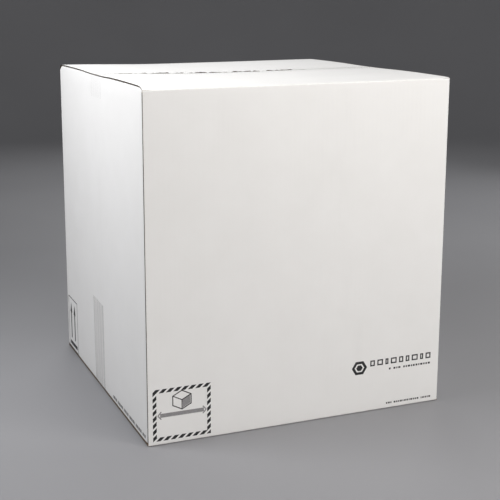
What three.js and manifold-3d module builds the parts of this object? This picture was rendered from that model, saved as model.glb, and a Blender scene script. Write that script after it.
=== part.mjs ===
// A closed regular slotted carton of white-faced corrugated board, sealed with clear tape.
// Row frame: millimetres, +Z up, origin at the centre of the underside.
// The front wall faces -Y and the left wall faces -X. The two outer flaps at each end of the
// carton hinge on the front and back walls and meet in a seam along X; the two inner flaps
// hinge on the left and right walls and lie beneath them.
import * as THREE from "three";
import { mergeVertices } from "three/addons/utils/BufferGeometryUtils.js";
import Module from "manifold-3d";

// Driving dimensions
const LENGTH = 420; // outside, along X
const DEPTH = 420; // outside, along Y
const HEIGHT = 445; // outside, along Z
const BOARD = 3; // B-flute single wall
const BEND = 2.4; // outside radius of a folded edge, less than the board
const GAP = 0.3; // clearance between neighbouring pieces
const SEAM = 1.5; // slit between the two outer flaps
const INNER_FLAP_GAP = 4; // slit between the two inner flaps
const SLOT = 7; // board that the slots take off each side of an inner flap
const GLUE_TAB = { width: 36, thickness: 2.5, endRelief: 14 };
const TAPE = { width: 50, thickness: 0.3 };
const TAPE_OFFSET = { top: 0, bottom: 15 }; // how far a strip's middle lies behind its seam
const TAIL_LENGTH = {
  top: { left: 28, right: 45 },
  bottom: { left: 123, right: 70 },
};
const ARC_STEPS = 8; // segments in a quarter turn

const REBATE = TAPE.thickness + GAP; // the tape lies in a band this deep, flush with the board
const END_WALL_HEIGHT = HEIGHT - 2 * (BOARD + GAP); // the outer flaps cover the end walls' ends
const INSIDE_DEPTH = DEPTH - 2 * (BOARD + GAP); // the end walls stand between front and back

const wasm = await Module();
wasm.setup();

const boardFace = new THREE.MeshStandardMaterial({
  color: 0xeceae6,
  roughness: 0.75,
  metalness: 0,
});
const kraftFace = new THREE.MeshStandardMaterial({
  color: 0xb08a5e,
  roughness: 0.9,
  metalness: 0,
});
const clearTape = new THREE.MeshStandardMaterial({
  color: 0xdedcd4,
  roughness: 0.25,
  metalness: 0,
});

// Extrudes an outline along an axis, centred. The outline lies in the plane of the other two.
function extrude(outline, length, axis) {
  const geometry = new THREE.ExtrudeGeometry(outline, {
    depth: length,
    bevelEnabled: false,
    curveSegments: ARC_STEPS,
  }).translate(0, 0, -length / 2);
  const [x, y, z] = [
    new THREE.Vector3(1, 0, 0),
    new THREE.Vector3(0, 1, 0),
    new THREE.Vector3(0, 0, 1),
  ];
  const turn = new THREE.Matrix4();
  if (axis === "x") turn.makeBasis(y, z, x); // outline in Y and Z
  if (axis === "y") turn.makeBasis(z, x, y); // outline in Z and X
  return geometry.applyMatrix4(turn);
}

function box(low, high) {
  const size = high.map((value, i) => value - low[i]);
  const centre = high.map((value, i) => (value + low[i]) / 2);
  return new THREE.BoxGeometry(...size).translate(...centre);
}

function solid(geometry) {
  const bare = geometry.index ? geometry.toNonIndexed() : geometry.clone();
  bare.deleteAttribute("normal");
  bare.deleteAttribute("uv");
  const merged = mergeVertices(bare, 1e-4);
  return new wasm.Manifold(
    new wasm.Mesh({
      numProp: 3,
      vertProperties: merged.attributes.position.array,
      triVerts: new Uint32Array(merged.index.array),
    }),
  );
}

function geometryOf(manifold) {
  const mesh = manifold.getMesh();
  const positions = new THREE.BufferAttribute(mesh.vertProperties, 3);
  const indices = new THREE.BufferAttribute(mesh.triVerts, 1);
  const result = new THREE.BufferGeometry()
    .setAttribute("position", positions)
    .setIndex(indices)
    .toNonIndexed();
  result.computeVertexNormals();
  return result;
}

function cut(geometry, cutters) {
  return geometryOf(
    cutters.reduce((left, cutter) => left.subtract(solid(cutter)), solid(geometry)),
  );
}

function piece(name, geometry, material) {
  const mesh = new THREE.Mesh(geometry, material);
  mesh.name = name;
  return mesh;
}

// The crease of an outer flap is a mitre: the wall's end and the flap's root each take half of
// the rounded corner. Half of the clearance lies on each side of the mitre line.
const MITRE = {
  angle: Math.PI / 4,
  clearance: Math.asin(GAP / 2 / BEND), // as an angle about the bend's centre
  inset: (GAP / 2) * Math.SQRT2, // along the inner face
};

// A wall across X, seen in plan. A wall's end is either folded, so rounded, or a raw cut.
function wallPlan(roundLeft, roundRight) {
  const half = LENGTH / 2;
  const outline = new THREE.Shape().moveTo(half, BOARD);
  outline.lineTo(-half, BOARD);
  if (roundLeft) outline.absarc(BEND - half, BEND, BEND, Math.PI, 1.5 * Math.PI);
  else outline.lineTo(-half, 0);
  if (roundRight) outline.absarc(half - BEND, BEND, BEND, -Math.PI / 2, 0);
  else outline.lineTo(half, 0);
  return outline;
}

// The same wall seen from its end, outer face at y = 0, mitred for the outer flaps.
function wallSection() {
  const sweep = MITRE.angle - MITRE.clearance;
  const high = HEIGHT / 2 - BEND;
  return new THREE.Shape()
    .moveTo(BOARD, HEIGHT / 2 - BOARD - MITRE.inset)
    .absarc(BEND, high, BEND, Math.PI - sweep, Math.PI, false)
    .absarc(BEND, -high, BEND, Math.PI, Math.PI + sweep, false)
    .lineTo(BOARD, BOARD + MITRE.inset - HEIGHT / 2);
}

function crossWall(name, plan) {
  const upright = solid(extrude(plan, HEIGHT, "z"));
  const across = solid(extrude(wallSection(), LENGTH + 2, "x"));
  return piece(name, geometryOf(upright.intersect(across)), boardFace);
}

function frontWall() {
  const wall = crossWall("front_panel", wallPlan(false, true));
  wall.position.set(0, -DEPTH / 2, HEIGHT / 2);
  return wall;
}

function backWall() {
  const wall = crossWall("back_panel", wallPlan(true, true));
  wall.position.set(0, DEPTH / 2, HEIGHT / 2);
  wall.rotation.z = Math.PI;
  return wall;
}

// An end wall in its own frame: outer face at x = 0, board towards +X, standing on z = 0.
// The tape's tails lie in shallow bands at its top and bottom.
function endWall(name, tails) {
  const outline = new THREE.Shape()
    .moveTo(0, BOARD)
    .absarc(BEND, BEND, BEND, Math.PI, 1.5 * Math.PI, false)
    .absarc(END_WALL_HEIGHT - BEND, BEND, BEND, -Math.PI / 2, 0, false)
    .lineTo(END_WALL_HEIGHT, BOARD);
  const bandHalf = TAPE.width / 2 + GAP;
  const bands = [
    box(
      [-1, tails.top.y - bandHalf, END_WALL_HEIGHT - tails.top.length - GAP],
      [REBATE, tails.top.y + bandHalf, END_WALL_HEIGHT + 1],
    ),
    box(
      [-1, tails.bottom.y - bandHalf, -1],
      [REBATE, tails.bottom.y + bandHalf, tails.bottom.length + GAP],
    ),
  ];
  return piece(
    name,
    cut(extrude(outline, INSIDE_DEPTH, "y"), bands),
    boardFace,
  );
}

// The strip of the left wall that turns the corner and is glued behind the front wall.
function glueTab() {
  const { width, thickness, endRelief } = GLUE_TAB;
  const tab = piece(
    "glue_tab",
    new THREE.BoxGeometry(width, thickness, END_WALL_HEIGHT - 2 * endRelief),
    kraftFace,
  );
  tab.position.set(
    -LENGTH / 2 + BOARD + GAP + width / 2,
    -DEPTH / 2 + BOARD + GAP + thickness / 2,
    HEIGHT / 2,
  );
  return tab;
}

// A flap in its own frame: crease along X at y = 0, outer face at z = 0, reaching towards +Y.
function outerFlapOutline(reach, bandWidth) {
  return new THREE.Shape()
    .moveTo(BOARD + MITRE.inset, -BOARD)
    .lineTo(reach, -BOARD)
    .lineTo(reach, -REBATE)
    .lineTo(reach - bandWidth, -REBATE)
    .lineTo(reach - bandWidth, 0)
    .absarc(BEND, -BEND, BEND, Math.PI / 2, Math.PI - MITRE.angle - MITRE.clearance, false);
}

function outerFlap(name, tapeWidth) {
  const reach = (DEPTH - SEAM) / 2;
  const bandWidth = tapeWidth + GAP;
  const end = LENGTH / 2;
  const endBands = [
    [-end - 1, REBATE - end],
    [end - REBATE, end + 1],
  ].map(([low, high]) =>
    box([low, reach - bandWidth, -BOARD - 1], [high, reach + 1, 1]),
  );
  const board = extrude(outerFlapOutline(reach, bandWidth), LENGTH, "x");
  return piece(name, cut(board, endBands), boardFace);
}

function innerFlap(name) {
  const reach = LENGTH / 2 - BOARD - GAP - INNER_FLAP_GAP / 2;
  const outline = new THREE.Shape()
    .moveTo(0, -BOARD)
    .lineTo(reach, -BOARD)
    .lineTo(reach, 0)
    .absarc(BEND, -BEND, BEND, Math.PI / 2, Math.PI, false);
  return piece(name, extrude(outline, DEPTH - 2 * SLOT, "x"), boardFace);
}

// One side of the slit tape, in the frame of its outer flap: a strip with a lip over each raw end.
function tapeHalf(name, width) {
  const half = LENGTH / 2;
  const inner = half - TAPE.thickness;
  const outline = new THREE.Shape()
    .moveTo(-BOARD, -half)
    .lineTo(-BOARD, -inner)
    .lineTo(-TAPE.thickness, -inner)
    .lineTo(-TAPE.thickness, inner)
    .lineTo(-BOARD, inner)
    .lineTo(-BOARD, half)
    .lineTo(0, half)
    .lineTo(0, -half);
  const strip = extrude(outline, width, "y");
  return piece(name, strip.translate(0, (DEPTH - SEAM - width) / 2, 0), clearTape);
}

// A tail of tape in the frame of its end wall, reaching from the wall's end at z = 0 to +Z.
function tapeTail(name, { length, y }) {
  const size = [TAPE.thickness, TAPE.width, length];
  const strip = new THREE.BoxGeometry(...size);
  return piece(
    name,
    strip.translate(TAPE.thickness / 2, y, length / 2),
    clearTape,
  );
}

// One closed end of the carton, built as its top. The underside is the same end turned over,
// so what is at the front here lies at the back there.
function closedEnd(end, sides) {
  const group = new THREE.Group();
  sides.outer.forEach((side, i) => {
    const hinge = new THREE.Group();
    hinge.position.y = ((i ? 1 : -1) * DEPTH) / 2;
    hinge.rotation.z = i ? Math.PI : 0;
    const behind = side === "back" ? TAPE_OFFSET[end] : -TAPE_OFFSET[end];
    const tapeWidth = (TAPE.width - SEAM) / 2 + behind;
    hinge.add(outerFlap(`${end}_${side}_flap`, tapeWidth));
    hinge.add(tapeHalf(`${end}_tape_${side}_half`, tapeWidth));
    group.add(hinge);
  });
  sides.inner.forEach((side, i) => {
    const flap = innerFlap(`${end}_${side}_flap`);
    const out = i ? 1 : -1;
    flap.position.set(out * (LENGTH / 2 - BOARD - GAP), 0, -BOARD - GAP);
    flap.rotation.z = (out * Math.PI) / 2;
    group.add(flap);
  });
  return group;
}

// An end wall with the tape tails that are stuck to it.
function tapedEndWall(side) {
  const group = new THREE.Group();
  const facing = side === "left" ? 1 : -1; // the right wall is the same wall turned round
  const tail = (end) => ({
    length: TAIL_LENGTH[end][side],
    y: facing * TAPE_OFFSET[end],
  });
  const tails = { top: tail("top"), bottom: tail("bottom") };
  group.add(endWall(`${side}_panel`, tails));
  group.add(tapeTail(`bottom_tape_${side}_tail`, tails.bottom));
  const topTail = tapeTail(`top_tape_${side}_tail`, tails.top);
  topTail.position.z = END_WALL_HEIGHT - tails.top.length;
  group.add(topTail);
  group.position.set((-facing * LENGTH) / 2, 0, BOARD + GAP);
  group.rotation.z = side === "left" ? 0 : Math.PI;
  return group;
}

const carton = new THREE.Group();
carton.add(frontWall(), backWall(), glueTab());
carton.add(tapedEndWall("left"), tapedEndWall("right"));

const top = closedEnd("top", { outer: ["front", "back"], inner: ["left", "right"] });
top.position.z = HEIGHT;
const bottom = closedEnd("bottom", {
  outer: ["back", "front"],
  inner: ["left", "right"],
});
bottom.rotation.x = Math.PI;
carton.add(top, bottom);

export default carton;
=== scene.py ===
"""Looks of a closed white corrugated carton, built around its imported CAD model.

The board is made as real board is: a white outer liner, a fluted medium and a brown inner
liner. Each area of board between creases has its own pieces, placed from the CAD nodes' boxes.
"""

import math

import bpy
import numpy as np
from mathutils import Matrix, Vector


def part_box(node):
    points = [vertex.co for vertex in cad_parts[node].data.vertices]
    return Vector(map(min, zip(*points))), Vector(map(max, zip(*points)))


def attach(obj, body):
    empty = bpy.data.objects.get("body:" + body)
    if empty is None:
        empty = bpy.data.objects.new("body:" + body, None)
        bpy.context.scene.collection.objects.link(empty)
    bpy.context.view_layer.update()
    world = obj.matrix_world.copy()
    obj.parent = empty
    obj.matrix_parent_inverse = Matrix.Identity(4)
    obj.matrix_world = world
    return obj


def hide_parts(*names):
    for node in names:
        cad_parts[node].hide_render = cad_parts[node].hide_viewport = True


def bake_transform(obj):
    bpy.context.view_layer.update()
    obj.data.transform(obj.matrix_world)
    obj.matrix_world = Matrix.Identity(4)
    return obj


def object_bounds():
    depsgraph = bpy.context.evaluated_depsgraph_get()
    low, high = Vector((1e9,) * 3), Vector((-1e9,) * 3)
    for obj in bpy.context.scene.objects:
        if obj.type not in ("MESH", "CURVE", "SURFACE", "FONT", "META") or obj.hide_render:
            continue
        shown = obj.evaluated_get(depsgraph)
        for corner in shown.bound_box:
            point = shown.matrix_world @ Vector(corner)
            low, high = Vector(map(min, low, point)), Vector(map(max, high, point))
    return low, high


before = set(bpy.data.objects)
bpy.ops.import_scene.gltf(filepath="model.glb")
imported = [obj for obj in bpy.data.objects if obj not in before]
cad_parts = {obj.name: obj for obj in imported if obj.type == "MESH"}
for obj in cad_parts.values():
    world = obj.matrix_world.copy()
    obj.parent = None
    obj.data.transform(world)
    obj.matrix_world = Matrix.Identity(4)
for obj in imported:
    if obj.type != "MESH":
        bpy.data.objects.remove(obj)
cad_box = [list(corner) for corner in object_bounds()]

MM = 0.001
X, Y, Z = np.eye(3)


def depth_of(node):
    """The size of a CAD node from front to back."""
    low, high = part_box(node)
    return high.y - low.y


# Sizes that the frame gives
HALF_LENGTH, HALF_DEPTH, HEIGHT = cad_box[1]
BOARD = depth_of("front_panel")
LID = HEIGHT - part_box("left_panel")[1].z  # from the top face down to the inner flaps
CLEARANCE = LID - BOARD
SEAM_GAP = min(abs(corner.y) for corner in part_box("top_front_flap"))
FLAP_REACH = HALF_DEPTH - SEAM_GAP  # of an outer flap, from its wall's face to the seam

# Board
OUTER_LINER = 0.35 * MM
INNER_LINER = 0.3 * MM
MEDIUM = 0.22 * MM
FLUTE_PITCH = 6.4 * MM
SAMPLES_PER_FLUTE = 6
WALL_COLUMNS, WALL_ROWS = 90, 26  # of points on a wall's white face
FLAP_COLUMNS, FLAP_ROWS = 120, 30
CORE_COLUMNS, CORE_ROWS = 120, 24  # on the inner liner, and along the flutes
CREASE_RADIUS = 2.0 * MM  # puts the middle of a flap's crease on its hinge line
CORNER_RADIUS = 2.4 * MM
MITRE_OVERLAP = math.radians(1.5)  # so that no slit of light shows at a crease
CREASE_STRIP = 2.9 * MM  # of outer liner, between an end wall and its inner flap
TUCK = 0.06 * MM  # of a flap's outer liner under its wall's, at the crease
UNCUT = 1.0  # metres from a cut edge, for paper that gets neither the soil nor the painted shade of a cut edge

# Bends, as radius and angle
CREASE = (CREASE_RADIUS, math.pi / 4 + MITRE_OVERLAP)
CORNER = (CORNER_RADIUS, math.pi / 2)
TAB_FOLD = (3.4 * MM, math.pi / 2)
FOLD_END = HALF_DEPTH - CORNER_RADIUS  # where a folded corner ends on an end wall

# How the closed flaps lie
FLAP_CRUSH = 1.7 * MM  # how much thinner the knife left an outer flap at its two ends
CRUSHED = (5 * MM, 16 * MM)  # from the cut: fully crushed up to the first, whole from the second
CREASE_SLOPE = 4.5 * MM  # how soon a flap reaches its full rise, beside a crease
CREASE_GAP = 0.15 * MM  # between an end wall's crease and the outer flaps over it
RISE = {"left": 4.0 * MM, "right": 1.0 * MM}  # of top flaps over the inner flaps' creases
HELD = 0.15  # the share of that rise that the tape presses down
HELD_LENGTH = 60 * MM  # of a flap beside the tape
HELD_CREASE = (20 * MM, 90 * MM)  # from a crease's middle: fully held to the first, free after
STRETCH = {"top": 80 * MM, "bottom": 40 * MM}  # of an end wall that moves with its crease
WALL_WAVE = 0.2 * MM  # how uneven a wall is between its creases

# Tape and ink
FILM = 0.05 * MM
FILM_LIFT = 0.04 * MM  # between the film and the board
LIP_BEND = 0.35 * MM  # where the film turns down over the raw end of a flap
SLIT = 0.02 * MM  # between a half strip and the plane of the seam
RISING = 7 * MM  # of the front half strip, on its way up to the back flap's edge
TAIL_GAP = 0.4 * MM  # between the upper tails and the crushed ends of the flaps
TAIL_EXTRA, TAIL_SLANT = 1.5 * MM, 0.05  # how long and how slanting the lower tails are cut
TOOTH, TOOTH_DEPTH = 2.5 * MM, 0.5 * MM  # of the tape gun's cut
HAZE_WITH_PAINTED_REFLECTION = {"top": 0.22, "bottom": 1.0}  # how much of the film's cover each strip has; the upper strips' is cut down as a painted reflection of the lamps on them
INK = 0.04 * MM
INK_LIFT = 0.02 * MM


def ramp(x, start, stop):
    """Rises smoothly from 0 at start to 1 at stop."""
    t = np.clip((x - start) / (stop - start), 0, 1)
    return t * t * (3 - 2 * t)


def ripple(x, seed, wavelengths):
    """A smooth irregular wave between about -1 and 1."""
    phases = np.random.default_rng(seed).uniform(0, 2 * math.pi, len(wavelengths))
    waves = [np.sin(2 * math.pi * x / w + p) for w, p in zip(wavelengths, phases)]
    return sum(waves) / math.sqrt(len(wavelengths))


# ---------------------------------------------------------------- materials


def add_node(tree, kind, inputs=None, **settings):
    node = tree.nodes.new(kind)
    for name, value in settings.items():
        setattr(node, name, value)
    for name, value in (inputs or {}).items():
        if isinstance(value, bpy.types.NodeSocket):
            tree.links.new(value, node.inputs[name])
        else:
            node.inputs[name].default_value = value
    return node


def new_material(name, **shader_inputs):
    """A material with a Principled shader. Returns it, its node tree and the shader."""
    material = bpy.data.materials.new(name)
    material.use_nodes = True
    tree = material.node_tree
    tree.nodes.clear()
    inputs = {key.replace("_", " "): value for key, value in shader_inputs.items()}
    shader = add_node(tree, "ShaderNodeBsdfPrincipled", inputs)
    add_node(tree, "ShaderNodeOutputMaterial", {"Surface": shader.outputs[0]})
    return material, tree, shader


def noise(tree, vector, scale, detail=3.0, roughness=0.5):
    inputs = {"Vector": vector, "Scale": scale, "Detail": detail, "Roughness": roughness}
    return add_node(tree, "ShaderNodeTexNoise", inputs).outputs["Fac"]


def spread(tree, value, low, high, to_low=0.0, to_high=1.0):
    """Maps low..high to to_low..to_high, clamped."""
    inputs = {"Value": value, "From Min": low, "From Max": high}
    inputs.update({"To Min": to_low, "To Max": to_high})
    return add_node(tree, "ShaderNodeMapRange", inputs).outputs[0]


def maths(tree, operation, a, b=0.0):
    node = add_node(tree, "ShaderNodeMath", operation=operation)
    for socket, value in zip(node.inputs, (a, b)):
        if isinstance(value, bpy.types.NodeSocket):
            tree.links.new(value, socket)
        else:
            socket.default_value = value
    return node.outputs[0]


def mix(tree, share, a, b):
    """Mixes two colours, each a socket or three numbers."""
    node = add_node(tree, "ShaderNodeMix", {"Factor": share}, data_type="RGBA")
    colours = [s for s in node.inputs if s.type == "RGBA"]
    for socket, value in zip(colours, (a, b)):
        if isinstance(value, bpy.types.NodeSocket):
            tree.links.new(value, socket)
        else:
            socket.default_value = (*value, 1)
    return next(s for s in node.outputs if s.type == "RGBA")


def bump(tree, height, distance, strength=1.0, normal=None):
    inputs = {"Height": height, "Distance": distance, "Strength": strength}
    if normal is not None:
        inputs["Normal"] = normal
    return add_node(tree, "ShaderNodeBump", inputs).outputs[0]


def surface_place(tree):
    return add_node(tree, "ShaderNodeTexCoord").outputs["Object"]


def attribute(tree, name):
    return add_node(tree, "ShaderNodeAttribute", attribute_name=name).outputs["Fac"]


def stretched(tree, vector, scale):
    mapping = add_node(tree, "ShaderNodeMapping", {"Vector": vector, "Scale": scale})
    return mapping.outputs[0]


def flute_wave(tree):
    """The washboard that the flutes print through a liner."""
    turn = maths(tree, "MULTIPLY", attribute(tree, "flute"), 2 * math.pi / FLUTE_PITCH)
    return maths(tree, "SINE", turn)


def white_board():
    """Clay-coated white liner: faint clouds, specks and scuffs, and rubbed creases."""
    material, tree, shader = new_material("white_board", Roughness=0.62)
    place = surface_place(tree)
    clouds = spread(tree, noise(tree, place, 22, 4, 0.55), 0.3, 0.7)
    colour = mix(tree, clouds, (0.872, 0.866, 0.855), (0.893, 0.888, 0.879))
    specks = spread(tree, noise(tree, place, 700, 2), 0.64, 0.78, 0, 0.10)
    colour = mix(tree, specks, colour, (0.62, 0.60, 0.56))
    along = noise(tree, stretched(tree, place, (26, 26, 5)), 1, 5, 0.6)
    scuffs = spread(tree, along, 0.62, 0.75, 0, 0.07)
    colour = mix(tree, scuffs, colour, (0.66, 0.655, 0.65))
    rubbed = spread(tree, attribute(tree, "edge"), 0.0, 3 * MM, 1, 0)
    worn = spread(tree, noise(tree, place, 240, 4), 0.42, 0.66)
    worn = maths(tree, "MULTIPLY", maths(tree, "MULTIPLY", rubbed, worn), 0.22)
    colour = mix(tree, worn, colour, (0.70, 0.66, 0.60))
    tree.links.new(colour, shader.inputs["Base Color"])
    gloss = spread(tree, noise(tree, place, 90, 3), 0.3, 0.7, 0.55, 0.70)
    tree.links.new(gloss, shader.inputs["Roughness"])
    waves = bump(tree, flute_wave(tree), 0.008 * MM, 1.0)
    grain = bump(tree, noise(tree, place, 1500, 3, 0.6), 0.03 * MM, 0.5, waves)
    tree.links.new(grain, shader.inputs["Normal"])
    return material


CUT_EDGE_SOIL_AND_SHADE = (0.055, 0.047, 0.04)  # raw edges are soiled, and painted shade darkens them further, standing in for the shadow inside the cut board


def kraft(name, dark, light, fleck):
    """Unbleached paper: long fibres, flecks and a soft tooth, darkened towards cut edges by soil
    and painted shade.
    """
    material, tree, shader = new_material(name, Roughness=0.85)
    place = surface_place(tree)
    fibres = noise(tree, stretched(tree, place, (160, 160, 900)), 1, 5, 0.65)
    colour = mix(tree, spread(tree, fibres, 0.3, 0.7), dark, light)
    clouds = spread(tree, noise(tree, place, 35, 3), 0.35, 0.75, 0, 0.35)
    colour = mix(tree, clouds, colour, light)
    flecks = spread(tree, noise(tree, place, 520, 2), 0.66, 0.74, 0, 0.6)
    colour = mix(tree, flecks, colour, fleck)
    # soil and painted shade: the colour darkens towards a cut edge, as if shadowed
    cut = spread(tree, attribute(tree, "edge"), 0.0, 4 * MM, 0.9, 0.0)
    colour = mix(tree, cut, colour, CUT_EDGE_SOIL_AND_SHADE)
    tree.links.new(colour, shader.inputs["Base Color"])
    waves = bump(tree, flute_wave(tree), 0.04 * MM, 1.0)
    tooth = bump(tree, noise(tree, place, 1100, 4, 0.65), 0.06 * MM, 0.7, waves)
    tree.links.new(tooth, shader.inputs["Normal"])
    return material


def ink(name, full, thin):
    """Flexographic ink, slightly uneven where the flutes carry the printing plate less."""
    material, tree, shader = new_material(name, Roughness=0.5)
    place = surface_place(tree)
    uneven = spread(tree, noise(tree, place, 420, 4, 0.6), 0.45, 0.8, 0, 0.5)
    tree.links.new(mix(tree, uneven, full, thin), shader.inputs["Base Color"])
    gloss = spread(tree, noise(tree, place, 150, 2), 0.3, 0.7, 0.42, 0.6)
    tree.links.new(gloss, shader.inputs["Roughness"])
    tooth = bump(tree, noise(tree, place, 1500, 3, 0.6), 0.02 * MM, 0.5)
    tree.links.new(tooth, shader.inputs["Normal"])
    return material


def clear_tape():
    """Thin polypropylene film: streaks of trapped air along it, and greyer edges."""
    material, tree, shader = new_material("clear_tape", Roughness=0.2, IOR=1.49)
    across = attribute(tree, "across")
    length = maths(tree, "MULTIPLY", attribute(tree, "length"), 4)
    lanes = maths(tree, "MULTIPLY", across, 160)
    vector = add_node(tree, "ShaderNodeCombineXYZ", {"X": lanes, "Y": length})
    streaks = noise(tree, vector.outputs[0], 1, 4, 0.6)
    colour = mix(tree, streaks, (0.40, 0.38, 0.37), (0.62, 0.61, 0.60))
    tree.links.new(colour, shader.inputs["Base Color"])
    edges = spread(tree, attribute(tree, "edge"), 0.0, 5 * MM, 0.10, 0.0)
    body = spread(tree, streaks, 0.35, 0.7, 0.045, 0.145)
    # painted reflection: this attribute thins the upper strips' film, which lightens them
    cover = maths(tree, "MULTIPLY", maths(tree, "ADD", body, edges), attribute(tree, "haze_with_painted_reflection"))
    tree.links.new(cover, shader.inputs["Alpha"])
    fine = noise(tree, vector.outputs[0], 3, 3, 0.5)
    tree.links.new(bump(tree, fine, 0.02 * MM, 0.6), shader.inputs["Normal"])
    return material


WHITE = white_board()
BROWN = kraft("kraft_liner", (0.36, 0.235, 0.13), (0.50, 0.345, 0.205), (0.16, 0.10, 0.055))
# The medium is a grey-brown paper, made darker here as painted shade for the shadow deep in the
# board's raw edges.
FLUTED = kraft("fluted_medium", (0.13, 0.10, 0.072), (0.22, 0.17, 0.12), (0.07, 0.05, 0.035))
TAPE_FILM = clear_tape()
BLACK_INK = ink("black_ink", (0.012, 0.012, 0.014), (0.05, 0.05, 0.052))
GREY_INK = ink("grey_ink", (0.27, 0.265, 0.27), (0.42, 0.415, 0.415))


# ---------------------------------------------------------------- meshes


def face_area(points, face):
    ring = points[list(face)]
    following = np.roll(ring, -1, axis=0)
    return np.cross(ring, following).sum(0) / 2


def sheet(outer, inner, values):
    """A closed shell between two grids of points. Faces of the outer grid are kind 0, the rest 1.

    values holds one grid of numbers for each vertex attribute."""
    rows, columns = outer.shape[:2]
    count = rows * columns
    index = np.arange(count).reshape(rows, columns)
    quads = np.stack(
        [index[:-1, :-1], index[:-1, 1:], index[1:, 1:], index[1:, :-1]], axis=-1
    ).reshape(-1, 4)
    rim = np.concatenate(
        [index[0, :-1], index[:-1, -1], index[-1, :0:-1], index[:0:-1, 0]]
    )
    following = np.roll(rim, -1)
    side = np.stack([following, rim, rim + count, following + count], axis=-1)
    points = np.concatenate([outer.reshape(-1, 3), inner.reshape(-1, 3)])
    faces = np.concatenate([quads, quads[:, ::-1] + count, side])
    kinds = np.concatenate([np.zeros(len(quads)), np.ones(len(quads) + len(side))])
    values = {
        name: np.tile(np.broadcast_to(grid, (rows, columns)).reshape(-1), 2)
        for name, grid in values.items()
    }
    return oriented(points, faces, kinds, values)


def oriented(points, faces, kinds, values):
    """Turns the faces outwards. points, faces and kinds are arrays."""
    ring = points[faces]
    following = np.roll(ring, -1, axis=1)
    areas = np.cross(ring, following).sum(1) / 2
    if (areas * ring.mean(1)).sum() < 0:
        faces = faces[:, ::-1]
    return points, faces.tolist(), kinds, values


def prism(outer, inner):
    """A closed flat body between two matching rings of points."""
    count = len(outer)
    ring = list(range(count))
    following = ring[1:] + ring[:1]
    points = np.concatenate([outer, inner])
    faces = [ring, [i + count for i in reversed(ring)]]
    faces += [[j, i, i + count, j + count] for i, j in zip(ring, following)]
    volume = sum(
        np.dot(face_area(points, face), points[face].mean(0)) for face in faces
    )
    if volume < 0:
        faces = [face[::-1] for face in faces]
    return points, faces, np.zeros(len(faces)), {}


def build(name, shells, materials, body=None, replaced=()):
    """Joins closed shells into one piece. kinds number the materials, shell by shell."""
    points, faces, kinds, values = [], [], [], {}
    start = 0
    for shell_points, shell_faces, shell_kinds, shell_values in shells:
        points.append(shell_points)
        faces += [[i + start for i in face] for face in shell_faces]
        kinds.append(shell_kinds)
        for key, numbers in shell_values.items():
            values.setdefault(key, []).append(numbers)
        start += len(shell_points)
    mesh = bpy.data.meshes.new(name)
    mesh.from_pydata(np.concatenate(points).tolist(), [], faces)
    for material in materials:
        mesh.materials.append(material)
    mesh.polygons.foreach_set("material_index", np.concatenate(kinds).astype(np.int32))
    mesh.polygons.foreach_set("use_smooth", np.ones(len(faces), bool))
    for key, numbers in values.items():
        layer = mesh.attributes.new(key, "FLOAT", "POINT")
        layer.data.foreach_set("value", np.concatenate(numbers).astype(np.float32))
    mesh.set_sharp_from_angle(angle=math.radians(35))
    mesh.validate()
    piece = bpy.data.objects.new(name, mesh)
    bpy.context.scene.collection.objects.link(piece)
    if body is not None:
        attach(piece, body)
    if replaced:
        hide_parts(*replaced)
    return piece


# ---------------------------------------------------------------- areas of board


def rows_between(start, stop, count, graded):
    """Evenly spaced places, or ones that start close together, where a flap's crease is."""
    t = np.linspace(0, 1, count)
    return start + (stop - start) * (t**2 if graded else t)


class Line:
    """The path of a liner along one direction: places, depths and the normal into the board.

    A bend is (radius, angle): the path leaves the flat there and turns into the board. tuck is
    how far the start of the first bend is drawn in."""

    def __init__(
        self, start, stop, steps, start_bend=None, stop_bend=None, tuck=0.0, graded=False
    ):
        first, first_turn = start_bend or (0.0, 0.0)
        last, last_turn = stop_bend or (0.0, 0.0)
        flat = rows_between(start + first, stop - last, steps, graded)
        place, depth, lean, face = [flat], [flat * 0], [flat * 0], [flat * 0 + 1]
        if start_bend:
            t = np.linspace(first_turn, 0, 7)[:-1]
            inset = tuck * (t / first_turn) ** 3
            place.insert(0, start + first - (first - inset) * np.sin(t))
            depth.insert(0, first - (first - inset) * np.cos(t))
            lean.insert(0, np.sin(t))
            face.insert(0, np.cos(t))
        if stop_bend:
            t = np.linspace(0, last_turn, 7)[1:]
            place.append(stop - last + last * np.sin(t))
            depth.append(last - last * np.cos(t))
            lean.append(-np.sin(t))
            face.append(np.cos(t))
        self.place, self.depth = np.concatenate(place), np.concatenate(depth)
        self.lean, self.face = np.concatenate(lean), np.concatenate(face)
        lengths = np.hypot(np.diff(self.place), np.diff(self.depth))
        run = np.concatenate([[0], np.cumsum(lengths)])
        self.edge = np.minimum(run, run[-1] - run)


def flat_shape(u, v):
    return 0 * u * v


class Panel:
    """An area of board. u runs across its flutes, v along them and depth into the board.

    swell(u, v) is how far the board stands out of its plane, trim(u, v) moves v, and
    crush(u, v) is how much thinner the board is."""

    def __init__(
        self,
        origin,
        across,
        along,
        inward,
        swell=flat_shape,
        trim=flat_shape,
        crush=flat_shape,
    ):
        self.origin, self.across, self.along = np.array(origin), across, along
        self.inward, self.swell, self.trim, self.crush = inward, swell, trim, crush

    def at(self, u, v, depth):
        u, v, depth = np.broadcast_arrays(u, v, depth)
        pressed = self.crush(u, v) * np.clip(depth / BOARD, 0, 1)
        out = depth - pressed - self.swell(u, v)
        v = v + self.trim(u, v)
        return (
            self.origin
            + u[..., None] * self.across
            + v[..., None] * self.along
            + out[..., None] * self.inward
        )


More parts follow.
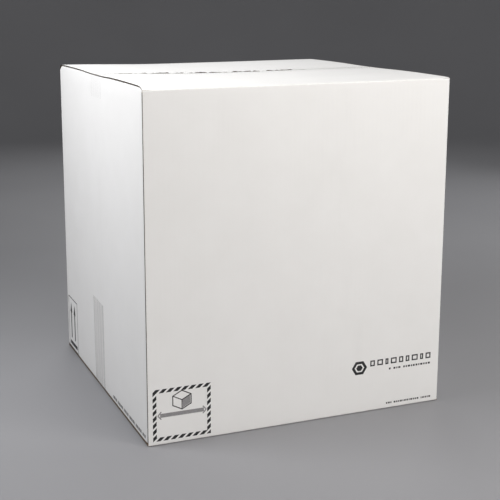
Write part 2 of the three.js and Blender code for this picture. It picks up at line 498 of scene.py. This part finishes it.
def liner(panel, wide, high, thickness, depth=0.0):
    """A sheet of paper along two lines: wide across the flutes and high along them."""
    u, v = wide.place[None, :], high.place[:, None]
    down = wide.depth[None, :] + high.depth[:, None] + depth
    outer = panel.at(u, v, down)
    inner = panel.at(
        u + thickness * wide.lean[None, :],
        v + thickness * high.lean[:, None],
        down + thickness * wide.face[None, :] * high.face[:, None],
    )
    edge = np.minimum(wide.edge[None, :], high.edge[:, None])
    return sheet(outer, inner, {"flute": u + 0 * v, "edge": edge})


def medium(panel, wide, high, board, graded):
    """The fluted sheet between the liners, over the ranges wide and high."""
    count = round((wide[1] - wide[0]) / FLUTE_PITCH * SAMPLES_PER_FLUTE)
    u = np.linspace(*wide, count)[None, :]
    v = rows_between(*high, CORE_ROWS, graded)[:, None]
    middle = (board + OUTER_LINER - INNER_LINER) / 2
    swing = (board - OUTER_LINER - INNER_LINER - MEDIUM) / 2
    turn = 2 * math.pi / FLUTE_PITCH
    depth = middle + swing * np.sin(turn * u)
    slope = swing * turn * np.cos(turn * u)
    along = MEDIUM / 2 * slope / np.hypot(1, slope)
    across = MEDIUM / 2 / np.hypot(1, slope)
    outer = panel.at(u + along, v, depth - across)
    inner = panel.at(u - along, v, depth + across)
    edge = np.minimum(u - wide[0], wide[1] - u) + 0 * v
    return sheet(outer, inner, {"flute": 0 * edge, "edge": edge})


def mitre_facing(panel, wide, near, sign):
    """The crushed board that closes a mitred crease at v = near, as a strip of brown paper."""
    recess = CREASE_RADIUS * (1 - math.cos(math.pi / 4)) + OUTER_LINER / 2
    depth = np.linspace(recess, BOARD, 4)[:, None]
    u = np.linspace(*wide, 30)[None, :]
    room = CLEARANCE / 2
    outer = panel.at(u, near + sign * (depth + room), depth)
    inner = panel.at(u, near + sign * (depth + room + INNER_LINER), depth)
    return sheet(outer, inner, {"flute": u + 0 * depth, "edge": UNCUT + 0 * (u + depth)})


def core(panel, wide, high, board=BOARD, mitres=(), graded=False):
    """Fluted medium and inner liner over the ranges wide and high, and any mitre facings."""
    columns, rows = Line(*wide, CORE_COLUMNS), Line(*high, CORE_ROWS, graded=graded)
    inner = liner(panel, columns, rows, INNER_LINER, board - INNER_LINER)
    points, faces, kinds, values = medium(panel, wide, high, board, graded)
    shells = [(inner[0], inner[1], inner[2] * 0, inner[3])]
    shells.append((points, faces, kinds * 0 + 1, values))
    for near, sign in mitres:
        strip = mitre_facing(panel, wide, near, sign)
        shells.append((strip[0], strip[1], strip[2] * 0, strip[3]))
    return shells


def board_pieces(node, body, skin, inside):
    """The white face of one area of board, which stands for its CAD node, and its core."""
    build(f"{node}_outer_liner", [skin], [WHITE, BROWN], body, [node])
    build(f"{node}_fluted_core", inside, [BROWN, FLUTED], body)


# ---------------------------------------------------------------- the carton's shape


def wall_swell(half_width, low, high, bulge, seed):
    """A wall that bows out a little between its creases and isn't quite flat."""

    def swell(u, v):
        s = u / half_width
        t = 2 * (v - low) / (high - low) - 1
        inside = np.clip((1 - s**2) * (1 - t**2), 0, 1)
        uneven = ripple(u, seed, [0.31, 0.19, 0.13]) * ripple(v, seed + 1, [0.37, 0.21])
        return bulge * inside + WALL_WAVE * uneven * np.sqrt(inside)

    return swell


def over_creases(distance):
    """The share of its full rise that board reaches at a distance from the crease beside it."""
    return 1 - np.exp(-np.clip(distance - CREASE_RADIUS, 0, None) / CREASE_SLOPE)


def end_rise(u):
    """How far an outer flap rides up over the inner flaps' creases at its two ends."""
    left = RISE["left"] * ramp(-u, 0.0, HALF_LENGTH) ** 1.4
    right = RISE["right"] * ramp(u, 0.0, HALF_LENGTH)
    return left + right


def flap_swell(taped, middle, rise=None):
    """A top flap rides up over the inner flaps and arches by middle, and the tape, which covers
    the last part of it, holds it down. rise(u) is how far its edge stands up at the seam."""
    span = FLAP_REACH - taped

    def swell(u, v):
        arch = middle * np.sin(math.pi * np.clip(v / span, 0, 1)) ** 1.2
        held = 1 - HELD * ramp(v, span - HELD_LENGTH, span)
        lifted = arch + end_rise(u) * over_creases(v) * held
        if rise is not None:
            lifted = lifted + rise(u) * ramp(v, span * 0.75, FLAP_REACH)
        return lifted

    return swell


def crown(rise):
    """How far an end wall's crease stands out, as a function of the distance from the wall's
    middle, so that it meets the crushed ends of outer flaps that ride up by rise."""
    full = rise + CLEARANCE + FLAP_CRUSH - CREASE_GAP

    def height(across):
        beside = HALF_DEPTH - np.abs(across)
        held = HELD * rise / full * (1 - ramp(np.abs(across), *HELD_CREASE))
        return full * over_creases(beside) * (1 - held)

    return height


def seam_rise(u):
    """The back flap's edge stands above the front flap's, here and there, along the seam."""
    window = ramp(u, -HALF_LENGTH, -120 * MM) * (1 - ramp(u, 60 * MM, 120 * MM))
    uneven = 0.6 + 0.75 * ripple(u, 11, [0.061, 0.027, 0.017, 0.011, 0.0073])
    return window * np.clip(uneven, 0, 1.5) * MM


def crushed_ends(u, v):
    """How much thinner an outer flap is towards its two ends, which a knife crushed."""
    whole = ramp(HALF_LENGTH + u, *CRUSHED) + ramp(HALF_LENGTH - u, *CRUSHED)
    return FLAP_CRUSH * (2 - whole) + 0 * v


def seam_edge(seed):
    """The flaps' edges aren't cut or folded quite parallel to the seam."""

    def trim(u, v):
        short = 0.35 + 0.3 * ripple(u, seed, [0.21, 0.083, 0.037])
        return -np.clip(short, 0, 1) * MM * ramp(v, 0.8 * FLAP_REACH, FLAP_REACH)

    return trim


def wall_panel(half_size, across, swell, trim=flat_shape):
    """A wall's plane. across points to the right for someone who faces it from outside."""
    inward = np.cross(Z, across)
    return Panel(-half_size * inward, across, Z, inward, swell, trim)


def cross_wall(node, across, bends, bulge, seed):
    """The front or back wall: creased for outer flaps at both ends, with a raw or a folded
    edge at each side."""
    swell = wall_swell(HALF_LENGTH, 0, HEIGHT, bulge, seed)
    panel = wall_panel(HALF_DEPTH, across, swell)
    wide = Line(-HALF_LENGTH, HALF_LENGTH, WALL_COLUMNS, *bends)
    high = Line(0, HEIGHT, WALL_ROWS, CREASE, CREASE)
    skin = liner(panel, wide, high, OUTER_LINER)
    left, right = (BOARD if bend else 0 for bend in bends)
    inside = core(
        panel,
        (left - HALF_LENGTH, HALF_LENGTH - right),
        (LID, HEIGHT - LID),
        mitres=[(0, 1), (HEIGHT, -1)],
    )
    board_pieces(node, "walls", skin, inside)
    return panel


def end_wall(side, across, stop, stop_bend, bulge, seed):
    """The left or right wall, which stands between the front and back walls. Its outer liner
    runs from a folded corner to stop, and may end there in a bend of its own."""
    low, high = LID, HEIGHT - LID
    top, bottom = crown(RISE[side]), crown(0)

    def trim(u, v):
        up = top(u) * ramp(v, high - STRETCH["top"], high - CORNER_RADIUS)
        down = bottom(u) * ramp(-v, -low - STRETCH["bottom"], -low - CORNER_RADIUS)
        return up - down

    swell = wall_swell(HALF_DEPTH, low, high, bulge, seed)
    panel = wall_panel(HALF_LENGTH, across, swell, trim)
    wide = Line(-FOLD_END, stop, WALL_COLUMNS, None, stop_bend)
    tall = Line(low, high, WALL_ROWS, CORNER, CORNER)
    skin = liner(panel, wide, tall, OUTER_LINER)
    half = HALF_DEPTH - LID
    inside = core(panel, (-half, half), (low + BOARD, high - BOARD))
    board_pieces(f"{side}_panel", "walls", skin, inside)
    return panel


def outer_flap(body, along, inward, swell, seed):
    """An outer flap. along points from its crease to the seam."""
    level = HEIGHT if inward[2] < 0 else 0.0
    origin = level * Z - HALF_DEPTH * along
    panel = Panel(origin, X, along, inward, swell, seam_edge(seed), crushed_ends)
    wide = Line(-HALF_LENGTH, HALF_LENGTH, FLAP_COLUMNS)
    high = Line(0, FLAP_REACH, FLAP_ROWS, CREASE, None, TUCK, graded=True)
    skin = liner(panel, wide, high, OUTER_LINER)
    inside = core(
        panel,
        (-HALF_LENGTH, HALF_LENGTH),
        (LID, FLAP_REACH),
        mitres=[(0, 1)],
        graded=True,
    )
    board_pieces(f"{body}_flap", body, skin, inside)
    return panel


def inner_flap(body, side, level, inward, stand):
    """side is -1 at the left wall and 1 at the right; level is the flap's white face. stand(y)
    is how far its wall's crease stands out."""
    node = f"{body}_flap"
    low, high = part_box(node)
    half = high.y
    crease = HALF_LENGTH - LID
    reach = crease - min(abs(low.x), abs(high.x))

    def swell(u, v):
        crush = FLAP_CRUSH * over_creases(HALF_DEPTH - np.abs(u))
        settled = crush * ramp(v + BOARD, *CRUSHED)  # where the outer flap over it is whole
        return (stand(u) - settled) * (1 - ramp(v, 0.0, 0.7 * HALF_LENGTH))

    panel = Panel((side * crease, 0, level), Y, -side * X, inward, swell)
    strip_start = CORNER_RADIUS - LID
    strip_stop = strip_start + CREASE_STRIP
    columns = Line(-half, half, FLAP_COLUMNS)
    rows = Line(strip_stop, reach, CORE_ROWS, graded=True)
    skin = liner(panel, columns, rows, OUTER_LINER)
    inside = core(panel, (-half, half), (CLEARANCE, reach), graded=True)
    board_pieces(node, body, skin, inside)
    bend = liner(panel, columns, Line(strip_start, strip_stop, 12), OUTER_LINER)
    strip = build(f"{body}_crease_liner", [bend], [WHITE, BROWN])
    start = panel.at(0.0, strip_start, 0.0)
    stop = panel.at(0.0, strip_stop, 0.0)
    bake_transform(strip)


def glue_tab():
    low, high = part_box("glue_tab")
    panel = Panel((0, low.y, 0), X, Z, Y)
    skin = liner(
        panel, Line(low.x, high.x, 6), Line(low.z, high.z, 14), OUTER_LINER
    )
    inside = core(panel, (low.x, high.x), (low.z, high.z), depth_of("glue_tab"))
    board_pieces("glue_tab", "walls", skin, inside)


front_wall = cross_wall("front_panel", X, (None, CORNER), bulge=0.8 * MM, seed=21)
cross_wall("back_panel", -X, (CORNER, CORNER), bulge=0.7 * MM, seed=23)
left_wall = end_wall("left", -Y, HALF_DEPTH - LID, TAB_FOLD, bulge=0.9 * MM, seed=25)
right_wall = end_wall("right", Y, FOLD_END, None, bulge=0.9 * MM, seed=27)
glue_tab()

front_shape = flap_swell(depth_of("top_tape_front_half"), middle=0.7 * MM)
back_shape = flap_swell(depth_of("top_tape_back_half"), middle=0.6 * MM, rise=seam_rise)
top_front = outer_flap("top_front", Y, -Z, front_shape, seed=31)
top_back = outer_flap("top_back", -Y, -Z, back_shape, seed=33)
bottom_front = outer_flap("bottom_front", Y, Z, flat_shape, seed=35)
bottom_back = outer_flap("bottom_back", -Y, Z, flat_shape, seed=37)
for side, sign in (("left", -1), ("right", 1)):
    inner_flap(f"top_{side}", sign, HEIGHT - LID, -Z, crown(RISE[side]))
    inner_flap(f"bottom_{side}", sign, LID, Z, crown(0))


# ---------------------------------------------------------------- tape


def film_piece(node, body, outer, inner, values):
    """A strip of film, which stands for its CAD node."""
    points, faces, kinds, values = sheet(outer, inner, values)
    shell = (points, faces, kinds * 0, values)
    build(f"{node}_film", [shell], [TAPE_FILM], body, [node])


def wrinkled(place, seed, height):
    """How far the film stands off the board, in small folds."""
    return FILM_LIFT + height * (1 + ripple(place, seed, [0.017, 0.0093, 0.0061]))


def strip_values(node, across, width, length):
    """The attributes that the film's material reads. The upper strips' film is made fainter, as a
    painted reflection of the lamps on it.
    """
    whole = 0 * across + 0 * length
    return {
        "across": across + whole,
        "length": length + whole,
        "edge": np.minimum(across, width - across) + whole,
        "haze_with_painted_reflection": whole + HAZE_WITH_PAINTED_REFLECTION[node.split("_")[0]],
    }


def tape_half(node, body, panel, rise=None):
    """Half of a strip over the seam, with a lip down over each raw end of its flap."""
    width = depth_of(node)
    out = HALF_LENGTH + FILM_LIFT + FILM
    t = np.linspace(0, math.pi / 2, 5)
    # Down the left end, along the flap and down the right end, as places and depths
    lip = np.linspace(BOARD, LIP_BEND, 4)
    flat = np.linspace(LIP_BEND - out, out - LIP_BEND, 90)
    places = [lip * 0 - out, LIP_BEND - out - LIP_BEND * np.cos(t)[1:-1], flat]
    depths = [lip, LIP_BEND - LIP_BEND * np.sin(t)[1:-1], flat * 0]
    places += [out - LIP_BEND + LIP_BEND * np.sin(t)[1:-1], lip * 0 + out]
    depths += [LIP_BEND - LIP_BEND * np.cos(t)[1:-1], lip[::-1]]
    u, down = np.concatenate(places)[None, :], np.concatenate(depths)[None, :]
    first = FLAP_REACH - width
    v = np.linspace(first, HALF_DEPTH - SLIT, 22)[:, None]
    lift = wrinkled(v, 41, 0.03 * MM)
    if rise is not None:
        lift = lift + rise(u) * ramp(v, FLAP_REACH - RISING, FLAP_REACH)
    on_top = down <= LIP_BEND
    outer = panel.at(u, v, down - (lift + FILM) * on_top)
    lean = FILM * np.sign(u) * (np.abs(u) >= HALF_LENGTH)
    inner = panel.at(u - lean, v, down - lift * on_top)
    steps = np.hypot(np.diff(u[0]), np.diff(down[0]))
    length = np.concatenate([[0], np.cumsum(steps)])[None, :]
    film_piece(node, body, outer, inner, strip_values(node, v - first, 2 * width, length))


def tape_tail(node, panel, free_end_up):
    """The end of a strip, stuck to an end wall, with the toothed cut of a tape gun."""
    low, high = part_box(node)
    sideways = np.sort([panel.across[1] * low.y, panel.across[1] * high.y])
    u = np.linspace(*sideways, 61)[None, :]
    share = np.linspace(0, 1, 24)[:, None]
    teeth = TOOTH_DEPTH * (np.abs((u / TOOTH) % 2 - 1) - 0.5)
    if free_end_up:
        cut = TAIL_EXTRA - TAIL_SLANT * (u - sideways.mean())
        v = low.z + share * (high.z - low.z + teeth + cut)
    else:
        top = min(high.z, HEIGHT - BOARD - FLAP_CRUSH - TAIL_GAP)
        v = top - share * (top - low.z + teeth)
    lift = wrinkled(u, 43, 0.04 * MM)
    outer = panel.at(u, v, -lift - FILM)
    inner = panel.at(u, v, -lift)
    values = strip_values(node, u - sideways[0], sideways[1] - sideways[0], v)
    film_piece(node, "walls", outer, inner, values)


tape_half("top_tape_front_half", "top_front", top_front, seam_rise)
tape_half("top_tape_back_half", "top_back", top_back)
tape_half("bottom_tape_front_half", "bottom_front", bottom_front)
tape_half("bottom_tape_back_half", "bottom_back", bottom_back)
tape_tail("top_tape_left_tail", left_wall, False)
tape_tail("top_tape_right_tail", right_wall, False)
tape_tail("bottom_tape_left_tail", left_wall, True)
tape_tail("bottom_tape_right_tail", right_wall, True)


# ---------------------------------------------------------------- print


def printed(panel, outline):
    """Ink on a panel, inside an outline of (u, v) corners."""
    u, v = np.array(outline, float).T
    base = np.full(len(u), -INK_LIFT)
    return prism(panel.at(u, v, base - INK), panel.at(u, v, base))


def bar(start, stop, width):
    """A straight stroke between two points."""
    start, stop = np.array(start, float), np.array(stop, float)
    along = (stop - start) / np.linalg.norm(stop - start)
    side = np.array([-along[1], along[0]]) * width / 2
    return [start - side, stop - side, stop + side, start + side]


def rectangle(left, low, right, high):
    return [(left, low), (right, low), (right, high), (left, high)]


def ring(corners, width):
    """The strokes just inside a convex outline that is given anticlockwise."""
    corners = np.array(corners, float)
    before = corners - np.roll(corners, 1, axis=0)
    after = np.roll(corners, -1, axis=0) - corners
    normals = [np.stack([-d[:, 1], d[:, 0]], 1) for d in (before, after)]
    normals = [n / np.linalg.norm(n, axis=1)[:, None] for n in normals]
    middle = normals[0] + normals[1]
    inner = corners + width * middle * 2 / (middle**2).sum(1)[:, None]
    count = len(corners)
    return [
        [corners[i], corners[(i + 1) % count], inner[(i + 1) % count], inner[i]]
        for i in range(count)
    ]


def clip(outline, measure, limit):
    """The part of an outline where measure(point) is at most limit."""
    kept = []
    for here, there in zip(outline, outline[1:] + outline[:1]):
        a, b = measure(here) - limit, measure(there) - limit
        if a <= 0:
            kept.append(here)
        if a * b < 0:
            share = a / (a - b)
            kept.append(tuple(p + share * (q - p) for p, q in zip(here, there)))
    return kept


def outline_area(outline):
    u, v = np.array(outline).T
    return (u * np.roll(v, -1) - v * np.roll(u, -1)).sum() / 2


def hatched_border(left, low, right, high, width, pitch, duty, phase):
    """A border of slanting strokes. pitch is the strokes' spacing across and upwards, duty the
    inked share of it, and phase shifts the strokes along."""
    smallest = 0.3 * MM**2

    def measure(point):
        return (point[0] - left) / pitch[0] - (point[1] - low) / pitch[1]

    bands = [
        rectangle(left, high - width, right, high),
        rectangle(left, low, right, low + width),
        rectangle(left, low + width, left + width, high - width),
        rectangle(right - width, low + width, right, high - width),
    ]
    strokes = []
    first = math.floor(-(high - low) / pitch[1]) - 1
    last = math.ceil((right - left) / pitch[0]) + 1
    for band in bands:
        for k in range(first, last):
            part = clip(band, measure, k + phase + duty)
            if len(part) > 2:
                part = clip(part, lambda p: -measure(p), -(k + phase))
            if len(part) > 2 and abs(outline_area(part)) > smallest:
                strokes.append(part)
    return strokes


def dashes(start, stop, middle, height, blocks, gaps):
    """A row of plain blocks of uneven widths in place of a line of words. gaps are the block
    numbers that a wider space follows."""
    weights = [1 + 0.35 * math.sin(2.4 * i) for i in range(blocks)]
    space, wider = 0.55, 1.2
    total = sum(weights) + space * (blocks - 1) + wider * len(gaps)
    unit = (stop - start) / total
    rows, at = [], start
    for i, weight in enumerate(weights):
        end = at + weight * unit
        rows.append(rectangle(at, middle - height / 2, end, middle + height / 2))
        at = end + (space + (wider if i in gaps else 0)) * unit
    return rows


def print_piece(name, panel, outlines, material):
    build(name, [printed(panel, o) for o in outlines], [material], "walls")


def handling_label():
    """A label with a hatched border, a plain parcel sign and a blank grey arrow."""
    left, low = -HALF_LENGTH + 6.2 * MM, 5.4 * MM
    width, height = 77.2 * MM, 68.4 * MM
    band, pitch = 4.9 * MM, (9.65 * MM, 8.55 * MM)
    border = hatched_border(
        left, low, left + width, low + height, band, pitch, duty=0.62, phase=0.4
    )
    print_piece("label_border_print", front_wall, border, BLACK_INK)

    centre = (left + width / 2, low + 0.745 * height)
    size = 14.8 * MM
    squeeze = height / width

    def corner(turn, share=1.0):
        angle = math.radians(turn)
        across = share * size * math.cos(angle)
        return (centre[0] + across, centre[1] + share * size * squeeze * math.sin(angle))

    hexagon = [corner(30 + 60 * i) for i in range(6)]
    parcel = ring(hexagon, 1.3 * MM)
    parcel += [bar(centre, corner(turn, 0.93), 1.2 * MM) for turn in (30, 150, 270)]
    print_piece("label_parcel_print", front_wall, parcel, BLACK_INK)

    shaded_side = [centre, corner(270, 0.86), corner(330, 0.86), corner(30, 0.86)]
    level, start, stop = low + 0.49 * height, left + 0.085 * width, left + 0.92 * width
    inset, half_thickness = 3 * MM, 2.6 * MM
    shaft = rectangle(
        start + inset, level - half_thickness, stop - inset, level + half_thickness
    )
    grey = [shaded_side, shaft]
    wing_length, wing_height, wing_stroke = 4.5 * MM, 5 * MM, 1.5 * MM
    for tip, way in ((start, 1), (stop, -1)):
        for up in (-1, 1):
            wing = (tip + way * wing_length, level + up * wing_height)
            grey.append(bar((tip, level), wing, wing_stroke))
    print_piece("label_grey_print", front_wall, grey, GREY_INK)


def maker_mark():
    """A plain hexagon and rows of blank blocks where a maker would print its mark."""
    centre = (-HALF_LENGTH + 296.15 * MM, 63.4 * MM)
    half_width, half_height = 11.45 * MM, 10.584 * MM
    ring_stroke, core_share = 3.6 * MM, 0.42

    def hexagon(share):
        turns = [math.pi * i / 3 for i in range(6)]
        return [
            (
                centre[0] + share * half_width * math.cos(turn),
                centre[1] + share * half_height * math.sin(turn),
            )
            for turn in turns
        ]

    # Rows of blocks: start, stop, middle and height
    large_row = (102.5 * MM, 196.3 * MM, 67.6 * MM, 8.2 * MM)
    small_row = (131.5 * MM, 195.8 * MM, 56.6 * MM, 2.6 * MM)
    lowest_row = (128.6 * MM, 198.4 * MM, 7.6 * MM, 2.4 * MM)
    outlines = ring(hexagon(1), ring_stroke) + [hexagon(core_share)]
    for block in dashes(*large_row, 9, ()):
        outlines += ring(block, 1.8 * MM)
    outlines += dashes(*small_row, 15, (0, 3))
    outlines += dashes(*lowest_row, 20, (2, 14))
    print_piece("maker_mark_print", front_wall, outlines, BLACK_INK)


def upright_arrows():
    """Two arrows that point up over a bar, in a thin frame."""
    middle = -173.75 * MM
    half_width, low, high, stroke = 27.75 * MM, 4.5 * MM, 86 * MM, 1.5 * MM
    outlines = ring(rectangle(middle - half_width, low, middle + half_width, high), stroke)
    half_stem, stem_low, stem_high = 2.5 * MM, 21 * MM, 64 * MM
    half_head, head_low, tip = 6 * MM, 62 * MM, 78 * MM
    for u in (-185 * MM, -164 * MM):
        outlines.append(rectangle(u - half_stem, stem_low, u + half_stem, stem_high))
        outlines.append([(u - half_head, head_low), (u + half_head, head_low), (u, tip)])
    outlines.append(rectangle(-195 * MM, 10 * MM, -152 * MM, 15.5 * MM))
    print_piece("this_way_up_print", left_wall, outlines, BLACK_INK)


def lower_edge_row():
    """A row of small blank blocks along the left wall's lower edge."""
    blocks = dashes(52 * MM, 198 * MM, 10.2 * MM, 4.0 * MM, 30, (3, 9, 14, 20, 26))
    print_piece("lower_edge_print", left_wall, blocks, BLACK_INK)


handling_label()
maker_mark()
upright_arrows()
lower_edge_row()


# ---------------------------------------------------------------- studio

FLOOR = -0.3 * MM
FLOOR_RINGS = [0.6, 1.4]  # metres from the carton, on the flat part
COVE_START = 2.6  # metres from the carton, where the floor begins to curve up
COVE_RADIUS = 1.6
COVE_TOP = 2.4


def studio_floor():
    """A plain grey floor that curves up all round, so that it shows no hard horizon."""
    angles = np.linspace(0, 2 * math.pi, 73)[:-1]
    climb = np.linspace(0, math.pi / 2, 17)
    radius = np.concatenate([FLOOR_RINGS, COVE_START + COVE_RADIUS * np.sin(climb)])
    height = np.concatenate([[0, 0], COVE_RADIUS * (1 - np.cos(climb))])
    radius, height = np.append(radius, radius[-1]), np.append(height, COVE_TOP)
    points = [(0, 0, FLOOR)]
    for r, z in zip(radius, height):
        points += [(r * math.cos(a), r * math.sin(a), z + FLOOR) for a in angles]
    count = len(angles)
    faces = [(0, 1 + k, 1 + (k + 1) % count) for k in range(count)]
    for row in range(len(radius) - 1):
        start = 1 + row * count
        for k in range(count):
            after = (k + 1) % count
            above = start + count
            faces.append((start + k, above + k, above + after, start + after))
    mesh = bpy.data.meshes.new("studio_floor")
    mesh.from_pydata(points, [], faces)
    mesh.polygons.foreach_set("use_smooth", np.ones(len(faces), bool))
    floor = bpy.data.objects.new("studio_floor", mesh)
    bpy.context.scene.collection.objects.link(floor)
    material, tree, shader = new_material("studio_floor", Roughness=0.6)
    place = surface_place(tree)
    clouds = spread(tree, noise(tree, place, 1.3, 3), 0.3, 0.7)
    colour = mix(tree, clouds, (0.262, 0.262, 0.275), (0.288, 0.288, 0.302))
    tree.links.new(colour, shader.inputs["Base Color"])
    mesh.materials.append(material)


def soft_light(name, place, target, size, watts, colour=(1, 1, 1)):
    """A square lamp that faces the target, and that the camera doesn't see."""
    data = bpy.data.lights.new(name, "AREA")
    data.shape, data.size, data.energy, data.color = "SQUARE", size, watts, colour
    light = bpy.data.objects.new(name, data)
    light.location = place
    aim = Vector(target) - Vector(place)
    light.rotation_euler = aim.to_track_quat("-Z", "Y").to_euler()
    light.visible_camera = False
    bpy.context.scene.collection.objects.link(light)


def studio_lights():
    middle, shoulder = (0, 0, HEIGHT / 2), (0, 0, 0.9 * HEIGHT)
    warm, cool = (1.0, 0.972, 0.938), (0.985, 0.99, 1.0)
    soft_light("front_right_light", (1.05, -1.5, 0.95), middle, 0.9, 12.4, warm)
    soft_light("front_light", (0.0, -1.75, 1.15), middle, 1.0, 9.9, warm)
    soft_light("near_front_light", (0.2, -0.75, 0.95), shoulder, 0.5, 1.8, warm)
    soft_light("near_left_light", (-0.7, -0.05, 0.85), shoulder, 0.45, 5.6, cool)
    soft_light("left_light", (-1.3, 0.1, 0.9), middle, 0.8, 2.0, cool)
    soft_light("back_light", (0.5, 1.8, 1.2), middle, 1.0, 6.5)
    soft_light("right_light", (1.6, 0.7, 0.7), middle, 0.9, 4)
    world = bpy.data.worlds.new("studio")
    world.use_nodes = True
    background = world.node_tree.nodes["Background"]
    background.inputs["Color"].default_value = (0.985, 0.99, 1.0, 1)
    background.inputs["Strength"].default_value = 0.27
    bpy.context.scene.world = world
    bpy.context.scene.view_settings.view_transform = "Standard"


def camera():
    """Looks down a little, from the front left and just above the carton's top."""
    data = bpy.data.cameras.new("camera")
    data.sensor_width, data.lens = 36, 75.91
    data.shift_x, data.shift_y = 0.08, -0.084
    turn, down, roll = (math.radians(a) for a in (20.967, 11.687, -0.265))
    forward = Vector(
        (math.sin(turn) * math.cos(down), math.cos(turn) * math.cos(down), -math.sin(down))
    )
    level = Vector((math.cos(turn), -math.sin(turn), 0))
    upright = level.cross(forward)
    right = level * math.cos(roll) + upright * math.sin(roll)
    up = upright * math.cos(roll) - level * math.sin(roll)
    matrix = Matrix((right, up, -forward)).transposed().to_4x4()
    matrix.translation = (-0.5769, -1.3858, 0.5589)
    piece = bpy.data.objects.new("camera", data)
    piece.matrix_world = matrix
    bpy.context.scene.collection.objects.link(piece)
    bpy.context.scene.camera = piece


studio_floor()
studio_lights()
camera()
